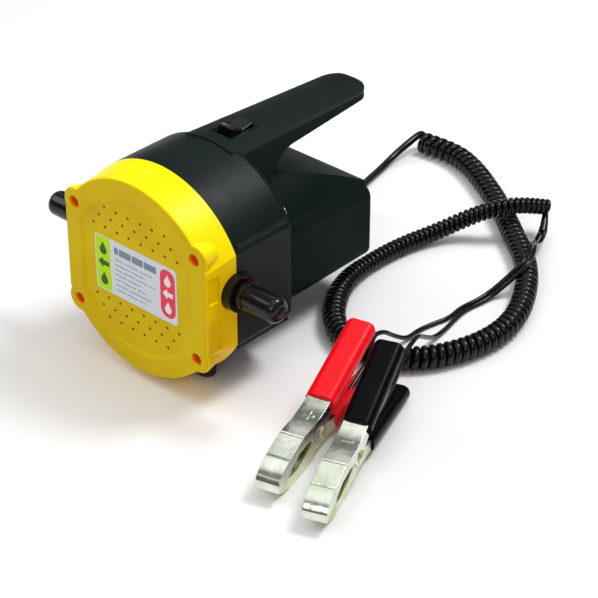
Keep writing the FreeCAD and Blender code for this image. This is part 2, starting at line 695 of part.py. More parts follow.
def tube(name, points, diameter):
    path = rounded_path(name, points)
    profile = Part.Wire([Part.makeCircle(diameter / 2, points[0], points[1] - points[0])])
    solid = path.makePipeShell([profile], True, False)
    print(name, "volume ratio", round(solid.Volume / (math.pi * diameter ** 2 / 4 * path.Length), 4))
    return solid


FLOOR = CORD_D / 2 + 0.05
COIL_Z = COIL_D / 2 + 0.05
COIL_END_Z = COIL_END_D / 2 + 0.05
LEAD_Z = LEAD_D / 2 + 0.1
GLAND_TIP = FRONT_Y + BOX_END + GLAND_LENGTH

LEAD_IN = [(GLAND_X, GLAND_TIP, AXIS_Z + GLAND_Z), (GLAND_X, 96, AXIS_Z + GLAND_Z), (-11.5, 108, 27),
           (-22, 116, 15), (-34, 123, 5), (-42, 137, FLOOR), (-46.5, 154, FLOOR), (-50, 171, FLOOR),
           (-51.8, 184, 4.5), (-50.3, 195, 9), (-47.8, 205, 11.5)]

COIL = [(-50, 206.4, COIL_Z), (-29, 209.5, COIL_Z), (-9, 204.5, COIL_Z), (13, 192, COIL_Z), (37, 176, COIL_Z),
        (64, 154.5, COIL_Z), (87, 136, COIL_Z), (105, 112, COIL_Z), (117.5, 86, COIL_Z), (120, 62, COIL_Z),
        (114, 38, COIL_Z), (101, 17, COIL_Z), (77, 5, COIL_Z), (52, 12, COIL_Z), (33, 33, COIL_Z),
        (27.75, 45, COIL_Z)]

# The narrower end of the coil, which crosses over the first part.
COIL_END = [(27.75, 45, COIL_Z), (22.5, 57, COIL_Z), (19.5, 80, COIL_END_Z), (20.5, 104, COIL_END_Z),
            (27, 128, 6.6), (38.5, 145, 14), (52, 153.5, 22), (61, 166, 22), (69, 179.5, 17.5)]

# The two leads leave the coil sideways, then lie side by side as far as the split.
LEADS = [(67.8, 177.4, 17.8), (72, 172, 12), (75.5, 164, 6.5), (78.5, 156, 7), (84, 146, 14.5),
         (91, 135, 17.9), (96.5, 123.5, 17.9), (94.5, 113, 12.5), (88.5, 104, 3), (87, 93, LEAD_Z),
         (85, 81, LEAD_Z), (87, 69, LEAD_Z)]
TO_BLACK = [(91, 58, LEAD_Z), (92.5, 47, 2.5), (95.5, 36, 9.5), (98.5, 26, 17), (102, 16, 18.4),
            (106, 5.5, 18.4)]
TO_RED = [(82.5, 59, LEAD_Z), (80.5, 48, LEAD_Z), (82, 37, 2), (81.5, 26.5, 9), (82, 17, 16.8),
          (82.5, 7.5, 18.4)]


def points(route):
    return [Vector(*point) for point in route]


def lead_route(offset, branch, clamp):
    """A lead: beside its twin as far as the split, then over the coil to its own clamp."""
    shift = Vector(offset, 0, 0)
    return [point + shift for point in points(LEADS)] + points(branch) + clamp_entry(clamp)


# ---------------------------------------------------------------- battery clamps

# In a clamp's own frame the pivot is the origin, +X points to the nose and +Z opens the jaws.
UPPER_NOSE = 46.6         # its curled end hooks down over ...
LOWER_NOSE = 44.4         # ... the shorter lower jaw
UPPER_TAIL = -59.1
LOWER_TAIL = -70.0        # the lower handle is the longer one
STEEL = 1.2
UPPER_HALF_W = 6.4        # the upper channel straddles the lower one
LOWER_HALF_W = 4.7
HANDLE_SLOPE = math.tan(math.radians(12.0))
PIVOT_TO_WEB = 7.6
UPPER_SLEEVE = -11.3       # where each sleeve starts
LOWER_SLEEVE = -18.0
SLEEVE_WALL = 1.6
CLAMP_PITCH = 8.6         # lying down, on the jaw's belly and the sleeve's end

CLAMPS = {
    "red": {"pivot": (110.0, -71.4), "heading": -75.2},
    "black": {"pivot": (138.1, -74.7), "heading": -69.6},
}


def lowest_point(shape, rotation):
    copy = shape.copy()
    copy.Placement = Placement(Vector(0, 0, 0), rotation)
    return min(vertex.z for vertex in copy.tessellate(0.05)[0])


def clamp_placement(name):
    """Where a clamp lies: its lower half rests on the floor."""
    pose = CLAMPS[name]
    rotation = Rotation(Vector(0, 0, 1), pose["heading"]).multiply(Rotation(Y_AXIS, CLAMP_PITCH))
    drop = min(lowest_point(part, rotation) for part in lower_half())
    return Placement(Vector(*pose["pivot"], 0.05 - drop), rotation)


def half_profile(lower):
    """One half's side view, above the clamp's mid-line, from its curled nose to its tail."""
    gap, deep, rise = 0.45, 6.2, PIVOT_TO_WEB + 1.0
    nose, tail = (LOWER_NOSE, LOWER_TAIL) if lower else (UPPER_NOSE, UPPER_TAIL)
    outer = [(nose - 0.3, 2.4), (nose - 1.3, 4.2), (nose - 3.2, 6.0), (nose - 6, 7.6), (nose - 9.3, 8.8),
             (34, 9.5), (33.2, 9.2), (32.4, 9.8), (19, 11.6), (18.2, 11.2), (17.4, 11.5),
             (6, 9.6), (-6, rise + 6 * HANDLE_SLOPE), (tail, rise - tail * HANDLE_SLOPE)]
    inner = [(tail, rise - tail * HANDLE_SLOPE - deep), (-14, rise + 14 * HANDLE_SLOPE - deep), (-6, 0.6),
             (-4.4, -4.0), (4.4, -4.0), (7, gap + 1.4), (14, 4.6), (24, 5.4), (32, 3.2)]
    teeth = []
    for i in range(4):
        x = 34.5 + i * 2.4
        teeth += [(x, gap), (x + 1.2, gap + 1.2)]
    hook = [(nose, gap)] if lower else [(nose - 1.4, gap), (nose - 1.4, -1.2), (nose - 0.1, -1.2)]
    return outer + inner + teeth + hook


def channel(half_width, lower):
    """A folded channel: the side view pushed across, hollowed from the jaw side."""
    side, nose, tail = (-1, LOWER_NOSE, LOWER_TAIL) if lower else (1, UPPER_NOSE, UPPER_TAIL)
    outline = [Vector(x, -half_width, side * z) for x, z in half_profile(lower)]
    block = prism(outline, Vector(0, 2 * half_width, 0))
    web = [(nose - 1.5, 2.2), (nose - 2.4, 3.5), (nose - 4.0, 5.0), (nose - 6.6, 6.5), (nose - 9.8, 7.6),
           (33.8, 8.2), (33.2, 8.0), (32.4, 8.6), (19, 10.3), (18.2, 9.9), (17.4, 10.2), (6.2, 8.3),
           (-6, PIVOT_TO_WEB - 0.3 + 6 * HANDLE_SLOPE),
           (tail - 1, PIVOT_TO_WEB - 0.3 - (tail - 1) * HANDLE_SLOPE)]
    hollow = web + [(tail - 1, -12), (nose - 1.5, -12)]
    inside = half_width - STEEL
    cut = prism([Vector(x, -inside, side * z) for x, z in hollow], Vector(0, 2 * inside, 0))
    pin = Part.makeCylinder(2.2, 40, Vector(0, -20, 0), Y_AXIS)
    return block.cut([cut, pin])


def polarity_mark(name):
    """Raised plus or minus on the upper jaw's web, between the sleeve and the first crease."""
    mark = Part.makeBox(1.4, 6.0, 0.5, Vector(-0.7, -3, 0))
    if name == "red":
        mark = union([mark, Part.makeBox(6.0, 1.4, 0.5, Vector(-3, -0.7, 0))])
    mark.Placement = Placement(Vector(1, 0, 9.4), Rotation(Y_AXIS, 1.3))
    return mark


def sleeve(half_width, lower):
    """A dipped vinyl sleeve over one handle, closed and rounded at its end."""
    half, height = half_width + SLEEVE_WALL, 6.2 + 2 * SLEEVE_WALL
    mouth, tail = (LOWER_SLEEVE, LOWER_TAIL) if lower else (UPPER_SLEEVE, UPPER_TAIL)
    start = tail - SLEEVE_WALL - 0.6
    body = Part.makeBox(mouth - start, 2 * half, height, Vector(start, -half, 0))
    body = body.makeFillet(4.3, [edge for edge in body.Edges if edge.BoundBox.XLength > 40])
    body = round_edges(body, lambda box: box.XMax < start + 0.1, 2.2)
    shear = FreeCAD.Matrix()
    shear.A31 = -HANDLE_SLOPE
    shear.A34 = PIVOT_TO_WEB + 1.0 - 6.2 - SLEEVE_WALL
    body = body.transformGeometry(shear)
    outline = [Vector(x, -half_width, z) for x, z in half_profile(lower)]
    body = body.cut(prism(outline, Vector(0, 2 * half_width, 0)))
    if lower:
        body = body.mirror(Vector(0, 0, 0), Vector(0, 0, 1))
    return body


def lower_half():
    return [channel(LOWER_HALF_W, True), sleeve(LOWER_HALF_W, True)]


def rivet():
    shaft = Part.makeCylinder(2.0, 2 * UPPER_HALF_W + 0.8, Vector(0, -UPPER_HALF_W - 0.4, 0), Y_AXIS)
    heads = []
    for side in SIDES:
        start = Vector(0, side * (UPPER_HALF_W + 0.15), 0)
        heads.append(Part.makeCone(3.3, 2.3, 1.1, start, Vector(0, side, 0)))
    return union([shaft] + heads)


def jaw_spring():
    """The torsion spring round the rivet, with a leg along the lower handle."""
    coil = helix_spring(Vector(0, -2.8, 0), Y_AXIS, 2.9, 0.55, 1.3, 5.4)
    leg = Part.makeCylinder(0.55, 10, Vector(0, -2.8, -2.9), Vector(-1, 0, -0.16))
    return coil.fuse(leg)


def clamp_parts(name):
    upper = union([channel(UPPER_HALF_W, False), polarity_mark(name)])
    lower, lower_sleeve = lower_half()
    return {
        "upper_jaw": upper,
        "lower_jaw": lower,
        "upper_sleeve": sleeve(UPPER_HALF_W, False),
        "lower_sleeve": lower_sleeve,
        "rivet": rivet(),
        "spring": jaw_spring(),
    }


def clamp_entry(name):
    """The lead's last points: in between the handles, then through the lower sleeve."""
    placement = clamp_placement(name)
    return [placement.multVec(Vector(x, 0, z)) for x, z in ((-68, -9.4), (-54, -9.2), (-40, -11.4))]


# ---------------------------------------------------------------- build

def build():
    handle = handle_block(0)
    handle_hollow = handle_block(HANDLE_WALL)
    nodes = {
        "front_cover": front_cover(),
        "label": label(),
        "cover_screws": cover_screws(),
        "front_housing": front_housing(handle, handle_hollow),
        "rear_housing": rear_housing(handle, handle_hollow),
        "housing_screws": housing_screws(),
        "handle_screws": handle_screws(),
        "rubber_feet": rubber_feet(),
        "pump_plate": pump_plate(),
        "pump_gasket": pump_gasket(),
        "pump_body": pump_body(),
        "pump_screws": pump_screws(),
        "drive_gear": drive_gear(),
        "driven_gear": driven_gear(),
        "idler_axle": idler_axle(),
        "shaft_seal": shaft_seal(),
        "port_right": port_fitting(1),
        "port_left": port_fitting(-1),
        "port_cap_right": port_cap(1),
        "port_cap_left": port_cap(-1),
        "motor_bell": motor_bell(),
        "motor_can": motor_can(),
        "motor_magnets": magnets(),
        "motor_shaft": motor_shaft(),
        "armature_core": armature(),
        "armature_windings": windings(),
        "commutator": commutator(),
        "brush_plate": brush_plate(),
        "brushes": brushes(),
        "brush_springs": brush_springs(),
        "front_bush": bush(34.2, 41.0),
        "rear_bush": bush(MOTOR_END - 2.0, MOTOR_END + 2.6),
        "switch_frame": switch_frame(),
        "switch_rocker": rocker(),
        "switch_pin": rocker_pin(),
        "switch_terminals": switch_terminals(),
        "cable_gland": cable_gland(),
        "cord_lead_in": tube("cord_lead_in", points(LEAD_IN), CORD_D),
        "cord_coil": tube("cord_coil", points(COIL), COIL_D),
        "cord_coil_end": tube("cord_coil_end", points(COIL_END), COIL_END_D),
        "lead_black": tube("lead_black", lead_route(1.6, TO_BLACK, "black"), LEAD_D),
        "lead_red": tube("lead_red", lead_route(-1.6, TO_RED, "red"), LEAD_D),
    }
    nodes["cord_coil"] = nodes["cord_coil"].cut(nodes["cord_lead_in"])
    nodes["cord_coil_end"] = nodes["cord_coil_end"].cut([nodes["lead_black"], nodes["lead_red"]])
    for colour in CLAMPS:
        placement = clamp_placement(colour)
        for part, shape in clamp_parts(colour).items():
            shape.Placement = placement
            nodes["clamp_" + colour + "_" + part] = shape
        covered = "clamp_" + colour + "_lower_sleeve"
        nodes[covered] = nodes[covered].cut(nodes["lead_" + colour])
    return nodes


os.makedirs("parts", exist_ok=True)
for node, node_shape in build().items():
    export(node_shape, node)
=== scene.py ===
import json
import math

import bmesh
import bpy
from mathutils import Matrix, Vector


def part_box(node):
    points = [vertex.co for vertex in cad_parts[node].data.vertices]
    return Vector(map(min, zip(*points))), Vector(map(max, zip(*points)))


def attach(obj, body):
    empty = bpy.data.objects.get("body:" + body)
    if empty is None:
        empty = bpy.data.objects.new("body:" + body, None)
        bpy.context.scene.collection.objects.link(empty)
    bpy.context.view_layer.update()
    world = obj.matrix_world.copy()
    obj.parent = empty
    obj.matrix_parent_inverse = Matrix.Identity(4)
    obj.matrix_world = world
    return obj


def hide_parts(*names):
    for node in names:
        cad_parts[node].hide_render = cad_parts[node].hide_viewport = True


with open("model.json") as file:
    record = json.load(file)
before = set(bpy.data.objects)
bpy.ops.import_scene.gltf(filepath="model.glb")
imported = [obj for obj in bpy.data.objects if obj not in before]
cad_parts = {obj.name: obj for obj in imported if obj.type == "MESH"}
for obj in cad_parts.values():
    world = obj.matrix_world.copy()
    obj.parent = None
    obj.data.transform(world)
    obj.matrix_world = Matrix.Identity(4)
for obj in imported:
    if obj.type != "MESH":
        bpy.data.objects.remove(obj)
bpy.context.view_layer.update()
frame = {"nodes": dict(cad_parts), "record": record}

# Fluid transfer pump. Metres, in the CAD frame: +X is the pump's right side seen from its
# front, +Y runs back along the handle, +Z is up. The label's print and the cords' routes are in
# millimetres.

MM = 0.001
SCENE = bpy.context.scene


# ---------------------------------------------------------------- shader helpers

class Shader:
    """A principled material with short calls for the nodes that these materials share."""

    def __init__(self, name, colour, roughness, metallic=0.0, **sockets):
        self.material = bpy.data.materials.new(name)
        self.material.use_nodes = True
        self.tree = self.material.node_tree
        self.bsdf = self.tree.nodes["Principled BSDF"]
        self.set(self.bsdf, {"Base Color": (*colour, 1), "Roughness": roughness, "Metallic": metallic})
        self.set(self.bsdf, {key.replace("_", " "): value for key, value in sockets.items()})
        self.place = self.node("ShaderNodeTexCoord").outputs["Object"]

    def node(self, kind, values=None, **settings):
        made = self.tree.nodes.new(kind)
        for key, value in settings.items():
            setattr(made, key, value)
        self.set(made, values or {})
        return made

    def set(self, node, values):
        for socket, value in values.items():
            if isinstance(value, bpy.types.NodeSocket):
                self.tree.links.new(value, node.inputs[socket])
            else:
                node.inputs[socket].default_value = value

    def math(self, operation, first, second=0.0):
        return self.node("ShaderNodeMath", {0: first, 1: second}, operation=operation).outputs[0]

    def axes(self):
        """Object X, Y and Z, in metres."""
        split = self.node("ShaderNodeSeparateXYZ", {0: self.place})
        return split.outputs[0], split.outputs[1], split.outputs[2]

    def noise(self, scale, detail=3.0, stretch=(1, 1, 1)):
        spread = self.node("ShaderNodeMapping", {"Vector": self.place, "Scale": stretch}).outputs[0]
        made = self.node("ShaderNodeTexNoise", {"Vector": spread, "Scale": scale, "Detail": detail})
        return made.outputs[0]

    def ramp(self, factor, stops):
        made = self.node("ShaderNodeValToRGB", {0: factor})
        while len(made.color_ramp.elements) < len(stops):
            made.color_ramp.elements.new(0.5)
        for element, (position, colour) in zip(made.color_ramp.elements, stops):
            element.position = position
            element.color = (*colour, 1)
        return made.outputs[0]

    def mask(self, factor, low, high):
        """0 below low, 1 above high."""
        made = self.node("ShaderNodeMapRange", {0: factor, 1: low, 2: high})
        return made.outputs[0]

    def mix(self, factor, first, second):
        made = self.node("ShaderNodeMix", data_type="RGBA")
        self.set(made, {0: factor, 6: first, 7: second})
        return made.outputs[2]

    def colour(self, socket):
        self.set(self.bsdf, {"Base Color": socket})

    def roughness(self, factor, low, high):
        made = self.node("ShaderNodeMapRange", {0: factor, 3: low, 4: high})
        self.set(self.bsdf, {"Roughness": made.outputs[0]})

    def bump(self, heights, rounding=0.0):
        """Bumps from (height, distance in metres) pairs, over edges rounded by the bevel node."""
        normal = None
        if rounding:
            normal = self.node("ShaderNodeBevel", {"Radius": rounding}, samples=4).outputs[0]
        for height, distance in heights:
            made = self.node("ShaderNodeBump", {"Height": height, "Distance": distance, "Strength": 1.0})
            if normal:
                self.set(made, {"Normal": normal})
            normal = made.outputs[0]
        self.set(self.bsdf, {"Normal": normal})
        return self.material


# ---------------------------------------------------------------- materials

# What the front cover's finish picks out, in metres. The tint of a screw's well, or the painted shade
# in the small holes, starts at the first value of each pair, and is full at the second.
AXIS_HEIGHT = 0.0605
FACE_Y = -0.0835
SCREWS_X = 0.0431
SCREWS_Z = 0.0293
WELL_EDGE = (0.0040, 0.0036)       # distance from a screw
WELL_DEPTH = (0.0003, 0.0022)
HOLES_EDGE = (0.0018, 0.0016)      # squared distance from the axis
HOLES_DEPTH = (0.0012, 0.0016)


def yellow_plastic():
    """Bright gloss moulding: a duller, grained front face, red-orange screw wells, and painted light and
    shade: the front face a darker mustard, the sides a lit orange-yellow, upward faces lemon, holes dark
    brown.
    """
    s = Shader("yellow_plastic", (1, 0.72, 0.0), 0.3, Specular_IOR_Level=0.12)
    x, y, z = s.axes()
    # Painted light and shade by facing: front faces get a darker mustard as painted shade, the other sides a
    # bright orange-yellow as painted light, and upward faces a lemon as painted top light.
    facing = s.node("ShaderNodeSeparateXYZ", {0: s.node("ShaderNodeNewGeometry").outputs["Normal"]})
    front = s.mask(s.math("MULTIPLY", facing.outputs[1], -1.0), 0.5, 0.85)
    painted_top_light = s.mask(facing.outputs[2], 0.1, 0.8)
    grain = s.noise(1500, 4)
    cloud = s.noise(45, 3)
    lit_flank = s.ramp(cloud, [(0.3, (0.98, 0.58, 0.0)), (0.7, (1.0, 0.65, 0.0))])
    side = s.mix(painted_top_light, lit_flank, (0.95, 0.88, 0.002, 1))
    face = s.ramp(cloud, [(0.3, (0.64, 0.44, 0.0)), (0.7, (0.72, 0.51, 0.001))])
    off_x = s.math("SUBTRACT", s.math("ABSOLUTE", x), SCREWS_X)
    off_z = s.math("SUBTRACT", s.math("ABSOLUTE", s.math("SUBTRACT", z, AXIS_HEIGHT)), SCREWS_Z)
    away = s.math("SQRT", s.math("ADD", s.math("MULTIPLY", off_x, off_x), s.math("MULTIPLY", off_z, off_z)))
    in_well, in_hole = (s.mask(y, FACE_Y + start, FACE_Y + full) for start, full in (WELL_DEPTH, HOLES_DEPTH))
    well = s.math("MULTIPLY", s.mask(away, *WELL_EDGE), in_well)
    # Painted shade in the small holes: past the face they turn dark brown (0.4, 0.17, 0.004).
    inside = s.math("ADD", s.math("MULTIPLY", x, x), s.math("POWER", s.math("SUBTRACT", z, AXIS_HEIGHT), 2.0))
    painted_hole_shade = s.math("MULTIPLY", s.mask(inside, *HOLES_EDGE), in_hole)
    shade = s.mix(well, s.mix(front, side, face), (0.95, 0.13, 0.006, 1))
    s.colour(s.mix(painted_hole_shade, shade, (0.4, 0.17, 0.004, 1)))
    s.roughness(s.math("ADD", s.math("MULTIPLY", front, 0.7), s.math("MULTIPLY", grain, 0.3)), 0.24, 0.66)
    fine = s.math("MULTIPLY", grain, front)
    return s.bump([(fine, 0.00012), (s.noise(220, 2), 0.00002)], rounding=0.0004)


def charcoal_plastic(name, gloss, low, high):
    """Satin housing plastic: fine spark-eroded grain and a slow change in sheen."""
    s = Shader(name, (0.004, 0.008, 0.008), low, Specular_IOR_Level=gloss)
    cloud = s.noise(30, 3)
    s.colour(s.ramp(cloud, [(0.3, (0.002, 0.006, 0.0055)), (0.7, (0.005, 0.011, 0.0105))]))
    s.roughness(s.noise(160, 4), low, high)
    return s.bump([(s.noise(2600, 3), 0.00005), (s.noise(90, 2), 0.00004)], rounding=0.0005)


def gloss_black_plastic():
    """Polished moulding of the caps and the rocker, slightly wavy."""
    s = Shader("gloss_black_plastic", (0.003, 0.003, 0.004), 0.12, Specular_IOR_Level=0.32)
    s.colour(s.ramp(s.noise(60), [(0.3, (0.003, 0.003, 0.004)), (0.7, (0.007, 0.007, 0.008))]))
    s.roughness(s.noise(240, 4), 0.08, 0.17)
    return s.bump([(s.noise(120, 2), 0.00004)], rounding=0.0003)


def rubber():
    """Dull rubber with a faint mottle."""
    s = Shader("black_rubber", (0.018, 0.018, 0.018), 0.62)
    s.colour(s.ramp(s.noise(140), [(0.3, (0.012, 0.012, 0.012)), (0.7, (0.026, 0.026, 0.026))]))
    s.roughness(s.noise(500, 4), 0.5, 0.72)
    return s.bump([(s.noise(1500, 3), 0.00006)], rounding=0.0003)


def cord_jacket():
    """Glossy polyurethane jacket with faint draw lines and dust in patches."""
    s = Shader("cord_jacket", (0.003, 0.003, 0.003), 0.16, Specular_IOR_Level=0.3)
    s.colour(s.ramp(s.noise(220, 4), [(0.35, (0.002, 0.002, 0.002)), (0.75, (0.006, 0.006, 0.006))]))
    s.roughness(s.noise(420, 4), 0.1, 0.22)
    return s.bump([(s.noise(900, 3), 0.00003)])


def vinyl(name, dark, light, roughness, gloss):
    """Dipped vinyl: glossy, slightly orange-peeled, with uneven depth of colour."""
    s = Shader(name, light, roughness, Specular_IOR_Level=gloss)
    s.colour(s.ramp(s.noise(70, 3), [(0.3, dark), (0.7, light)]))
    s.roughness(s.noise(300, 3), roughness - 0.06, roughness + 0.1)
    return s.bump([(s.noise(260, 2), 0.00010), (s.noise(1200, 2), 0.00002)], rounding=0.0006)


def bright_plate():
    """Polished nickel plate: faintly green-grey, with draw marks and shallow dents."""
    s = Shader("bright_plate", (0.8, 0.82, 0.78), 0.14, metallic=1.0)
    s.colour(s.ramp(s.noise(60, 4), [(0.35, (0.56, 0.62, 0.48)), (0.65, (0.8, 0.83, 0.74))]))
    s.roughness(s.noise(180, 5, (1, 1, 4)), 0.08, 0.2)
    return s.bump([(s.noise(110, 2), 0.00022), (s.noise(900, 3), 0.00002)], rounding=0.0004)


def zinc_plate():
    """Pale yellow passivated zinc, duller than the plated jaw."""
    s = Shader("zinc_plate", (0.74, 0.74, 0.5), 0.34, metallic=0.9)
    s.colour(s.ramp(s.noise(90, 4), [(0.3, (0.6, 0.62, 0.36)), (0.55, (0.8, 0.8, 0.58)),
                                     (0.8, (0.74, 0.66, 0.42))]))
    s.roughness(s.noise(300, 4), 0.24, 0.42)
    return s.bump([(s.noise(600, 3), 0.00004)], rounding=0.0003)


def rusty_plate():
    """The cover's screws: red-orange plating, browned in patches."""
    s = Shader("rusty_plate", (0.9, 0.12, 0.03), 0.45, metallic=0.3)
    s.colour(s.ramp(s.noise(700, 4), [(0.35, (0.6, 0.06, 0.014)), (0.7, (0.95, 0.15, 0.04))]))
    s.roughness(s.noise(900, 4), 0.35, 0.6)
    return s.bump([(s.noise(1600, 3), 0.00003)], rounding=0.0002)


def metal(name, dark, light, low, high, grain, depth, stretch=(1, 1, 1)):
    """Bare metal between two colours and two roughnesses; stretch draws its grain out."""
    s = Shader(name, light, low, metallic=1.0)
    s.colour(s.ramp(s.noise(grain / 6, 4, stretch), [(0.3, dark), (0.7, light)]))
    s.roughness(s.noise(grain / 3, 4, stretch), low, high)
    return s.bump([(s.noise(grain, 4, stretch), depth)], rounding=0.0002)


def dull(name, dark, light, low, high, grain, depth):
    """A matt material between two colours and two roughnesses."""
    s = Shader(name, light, low)
    s.colour(s.ramp(s.noise(grain / 5, 4), [(0.3, dark), (0.7, light)]))
    s.roughness(s.noise(grain / 2, 4), low, high)
    return s.bump([(s.noise(grain, 3), depth)], rounding=0.0002)


def printed(name, colour):
    """Ink or laminate on the label: even colour with a trace of paper texture."""
    s = Shader(name, colour, 0.34, Specular_IOR_Level=0.14)
    shade = tuple(0.88 * c for c in colour)
    s.colour(s.ramp(s.noise(800, 3), [(0.3, shade), (0.7, colour)]))
    return s.bump([(s.noise(1500, 2), 0.00001)])


FINISHES = {
    "cover_yellow": yellow_plastic(),
    "housing_black": charcoal_plastic("charcoal_plastic", 0.17, 0.34, 0.5),
    "gloss_black": gloss_black_plastic(),
    "label": printed("label_white", (0.72, 0.75, 0.8)),
    "rubber_black": rubber(),
    "zinc_steel": zinc_plate(),
    "chrome_steel": bright_plate(),
    "cast_alu": metal("cast_aluminium", (0.42, 0.43, 0.44), (0.6, 0.61, 0.62), 0.38, 0.6, 700, 0.0001),
    "steel": metal("turned_steel", (0.42, 0.43, 0.45), (0.6, 0.61, 0.63), 0.2, 0.36, 900, 0.00002,
                   (1, 8, 1)),
    "can_steel": metal("motor_can", (0.2, 0.2, 0.21), (0.32, 0.32, 0.33), 0.3, 0.46, 600, 0.00003),
    "ferrite": dull("ferrite", (0.03, 0.03, 0.03), (0.07, 0.07, 0.07), 0.5, 0.7, 900, 0.00005),
    "copper": metal("enamelled_copper", (0.5, 0.16, 0.05), (0.76, 0.3, 0.12), 0.22, 0.4, 1400, 0.0001,
                    (1, 6, 1)),
    "brass": metal("bronze", (0.5, 0.34, 0.12), (0.72, 0.52, 0.22), 0.26, 0.42, 900, 0.00003),
    "carbon": dull("carbon", (0.02, 0.02, 0.02), (0.05, 0.05, 0.05), 0.5, 0.7, 1200, 0.00005),
    "phenolic": dull("phenolic", (0.12, 0.05, 0.02), (0.24, 0.1, 0.04), 0.4, 0.6, 800, 0.00003),
    "gasket": dull("gasket_sheet", (0.03, 0.035, 0.03), (0.06, 0.065, 0.06), 0.6, 0.8, 900, 0.00004),
    "vinyl_red": vinyl("vinyl_red", (0.9, 0.002, 0.008), (1.0, 0.006, 0.016), 0.24, 0.2),
    "vinyl_black": vinyl("vinyl_black", (0.001, 0.001, 0.002), (0.003, 0.003, 0.004), 0.24, 0.06),
    "cord_jacket": cord_jacket(),
}

# Two nodes differ from the rest of their slot: the cover's screws are tinted, and the rear shell is a
# duller moulding than the front one.
OWN_FINISHES = {
    "cover_screws": rusty_plate(),
    "rear_housing": charcoal_plastic("charcoal_plastic_dull", 0.06, 0.46, 0.62),
}


# ---------------------------------------------------------------- CAD nodes

def smoothing_group(angle):
    """Geometry nodes that shade a mesh smooth, apart from its edges sharper than an angle."""
    tree = bpy.data.node_groups.new("smooth_by_angle", "GeometryNodeTree")
    tree.interface.new_socket("Geometry", in_out="INPUT", socket_type="NodeSocketGeometry")
    tree.interface.new_socket("Geometry", in_out="OUTPUT", socket_type="NodeSocketGeometry")
    nodes = {name: tree.nodes.new(kind) for name, kind in (
        ("start", "NodeGroupInput"), ("drop", "GeometryNodeRemoveAttribute"),
        ("merge", "GeometryNodeMergeByDistance"), ("faces", "GeometryNodeSetShadeSmooth"),
        ("edges", "GeometryNodeSetShadeSmooth"), ("bend", "GeometryNodeInputMeshEdgeAngle"),
        ("sharp", "FunctionNodeCompare"), ("end", "NodeGroupOutput"))}
    nodes["drop"].inputs["Name"].default_value = "custom_normal"
    nodes["merge"].inputs["Distance"].default_value = 0.000002
    nodes["faces"].domain = "FACE"
    nodes["edges"].domain = "EDGE"
    nodes["edges"].inputs["Shade Smooth"].default_value = False
    nodes["sharp"].operation = "GREATER_THAN"
    nodes["sharp"].inputs["B"].default_value = angle
    for before, after in (("start", "drop"), ("drop", "merge"), ("merge", "faces"), ("faces", "edges")):
        tree.links.new(nodes[before].outputs[0], nodes[after].inputs["Geometry"])
    tree.links.new(nodes["bend"].outputs["Unsigned Angle"], nodes["sharp"].inputs["A"])
    tree.links.new(nodes["sharp"].outputs[0], nodes["edges"].inputs["Selection"])
    tree.links.new(nodes["edges"].outputs[0], nodes["end"].inputs[0])
    return tree


def finish_nodes():
    """Every CAD node gets the material of its slot; the clamps' folded steel is shaded smooth."""
    slots = {part["node"]: part["material_slot"] for part in frame["record"]["subparts"]}
    smoothing = smoothing_group(math.radians(28))
    for name, node in frame["nodes"].items():
        node.data.materials.clear()
        node.data.materials.append(OWN_FINISHES.get(name) or FINISHES[slots[name]])
        if name.endswith("_jaw"):
            node.modifiers.new("smooth", "NODES").node_group = smoothing


def new_mesh_object(name, bm, material, smooth=True):
    """A scene object from a bmesh, which is used up."""
    bmesh.ops.recalc_face_normals(bm, faces=bm.faces)
    mesh = bpy.data.meshes.new(name)
    for face in bm.faces:
        face.smooth = smooth
    bm.to_mesh(mesh)
    bm.free()
    mesh.materials.append(material)
    made = bpy.data.objects.new(name, mesh)
    SCENE.collection.objects.link(made)
    return made


# ---------------------------------------------------------------- label print

LABEL_LOW, LABEL_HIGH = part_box("label")
LABEL_MID = (LABEL_LOW + LABEL_HIGH) / 2
INK = 0.00005


def rounded_box(x0, x1, z0, z1, radius, corners=(1, 1, 1, 1)):
    """Outline of a box in millimetres from the label's centre; corners says which are round."""
    places = [(x1, z1, 0), (x0, z1, 90), (x0, z0, 180), (x1, z0, 270)]
    outline = []
    for (x, z, start), is_round in zip(places, corners):
        if not is_round:
            outline.append((x, z))
            continue
        cx = x - math.copysign(radius, x - (x0 + x1) / 2)
        cz = z - math.copysign(radius, z - (z0 + z1) / 2)
        for step in range(7):
            angle = math.radians(start + 15 * step)
            outline.append((cx + radius * math.cos(angle), cz + radius * math.sin(angle)))
    return outline


def arrow(x, z, length, width):
    """A block arrow about its centre, pointing left."""
    half, shaft, neck = length / 2, width * 0.22, length * 0.05
    shape = [(-half, -shaft), (neck, -shaft), (neck, -width / 2), (half, 0), (neck, width / 2),
             (neck, shaft), (-half, shaft)]
    return [(x - px, z - pz) for px, pz in shape]


def print_layer(name, outlines, layer, material):
    """Flat inked shapes on the label, each layer proud of the one below."""
    bm = bmesh.new()
    front = LABEL_LOW.y - INK * layer
    for outline in outlines:
        near = [bm.verts.new((LABEL_MID.x + x * MM, front, LABEL_MID.z + z * MM)) for x, z in outline]
        far = [bm.verts.new((v.co.x, front + INK * (layer + 0.5), v.co.z)) for v in near]
        bm.faces.new(near)
        bm.faces.new(far[::-1])
        for i, vertex in enumerate(near):
            j = (i + 1) % len(near)
            bm.faces.new((near[j], vertex, far[i], far[j]))
    made = new_mesh_object(name, bm, material, smooth=False)
    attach(made, "pump")


def droplet(x, z, radius):
    """A drop of oil about its centre, point up."""
    turns = [math.radians(angle) for angle in range(150, 391, 20)]
    return [(x, z + 1.9 * radius)] + [(x + radius * math.cos(a), z + radius * math.sin(a)) for a in turns]


